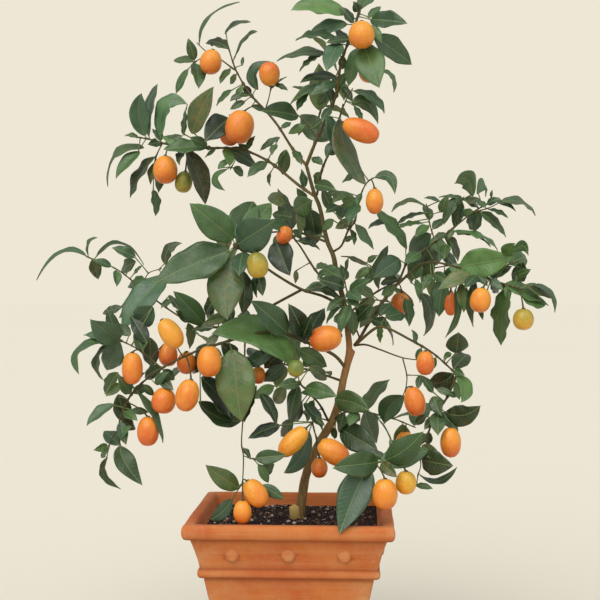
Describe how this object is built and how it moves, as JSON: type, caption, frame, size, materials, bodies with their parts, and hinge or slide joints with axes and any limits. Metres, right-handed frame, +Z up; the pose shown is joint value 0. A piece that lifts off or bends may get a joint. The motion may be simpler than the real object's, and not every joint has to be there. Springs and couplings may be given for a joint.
{
  "type": "potted kumquat tree",
  "caption": "Small kumquat tree in fruit: a leaning trunk, leafy shoots and oval orange fruits, growing from soil in a square terracotta planter with a rolled rim.",
  "frame": {"origin": "centre of the planter's underside, on the surface it stands on", "axes": "+Z up, -Y towards the front of the tree and square to the planter's front side, +X to the right as seen from the front"},
  "size_m": [0.6215, 0.3198, 0.7787],
  "materials": {
    "terracotta": "unglazed fired clay, matt, with faint wiped lines and a pale bloom at the edges",
    "soil": "dark loose potting mix with pale grit and bark chips",
    "bark": "thin smooth bark, brown, greener on young wood",
    "foliage": "leathery evergreen leaves, glossy above and paler and matt below",
    "ripe_rind": "thin waxy orange citrus rind with fine oil pits",
    "unripe_rind": "waxy green to yellow citrus rind with fine oil pits"
  },
  "bodies": {
    "root": {"terracotta_planter": "terracotta", "potting_soil": "soil", "trunk": "bark", "crown_top_spray": "foliage", "crown_middle_spray": "foliage", "second_upright_shoot": "foliage", "upper_left_spray": "foliage", "upper_left_bough": "foliage", "upper_left_outer_spray": "foliage", "centre_left_shoot": "foliage", "big_leaf_whorl": "foliage", "far_left_spray": "foliage", "lower_left_bough": "foliage", "lower_left_spray": "foliage", "low_front_shoot": "foliage", "low_right_shoot": "foliage", "hanging_shoot": "foliage", "leader_right_shoot": "foliage", "right_bough": "foliage", "right_upper_spray": "foliage", "right_cluster": "foliage", "right_middle_shoot": "foliage", "right_lower_spray": "foliage", "rim_spray": "foliage", "back_crown_shoot": "foliage", "back_left_shoot": "foliage", "back_right_shoot": "foliage", "back_low_left_shoot": "foliage", "back_low_right_shoot": "foliage", "kumquat_01": "ripe_rind", "kumquat_02": "ripe_rind", "kumquat_03": "ripe_rind", "kumquat_04": "ripe_rind", "kumquat_05": "ripe_rind", "kumquat_06": "ripe_rind", "kumquat_07": "unripe_rind", "kumquat_08": "unripe_rind", "kumquat_09": "ripe_rind", "kumquat_10": "ripe_rind", "kumquat_11": "ripe_rind", "kumquat_12": "unripe_rind", "kumquat_13": "ripe_rind", "kumquat_14": "ripe_rind", "kumquat_15": "ripe_rind", "kumquat_16": "ripe_rind", "kumquat_17": "ripe_rind", "kumquat_18": "unripe_rind", "kumquat_19": "ripe_rind", "kumquat_20": "ripe_rind", "kumquat_21": "ripe_rind", "kumquat_22": "ripe_rind", "kumquat_23": "ripe_rind", "kumquat_24": "ripe_rind", "kumquat_25": "ripe_rind", "kumquat_26": "ripe_rind", "kumquat_27": "ripe_rind", "kumquat_28": "ripe_rind", "kumquat_29": "ripe_rind", "kumquat_30": "ripe_rind", "kumquat_31": "unripe_rind"}
  },
  "joints": []
}
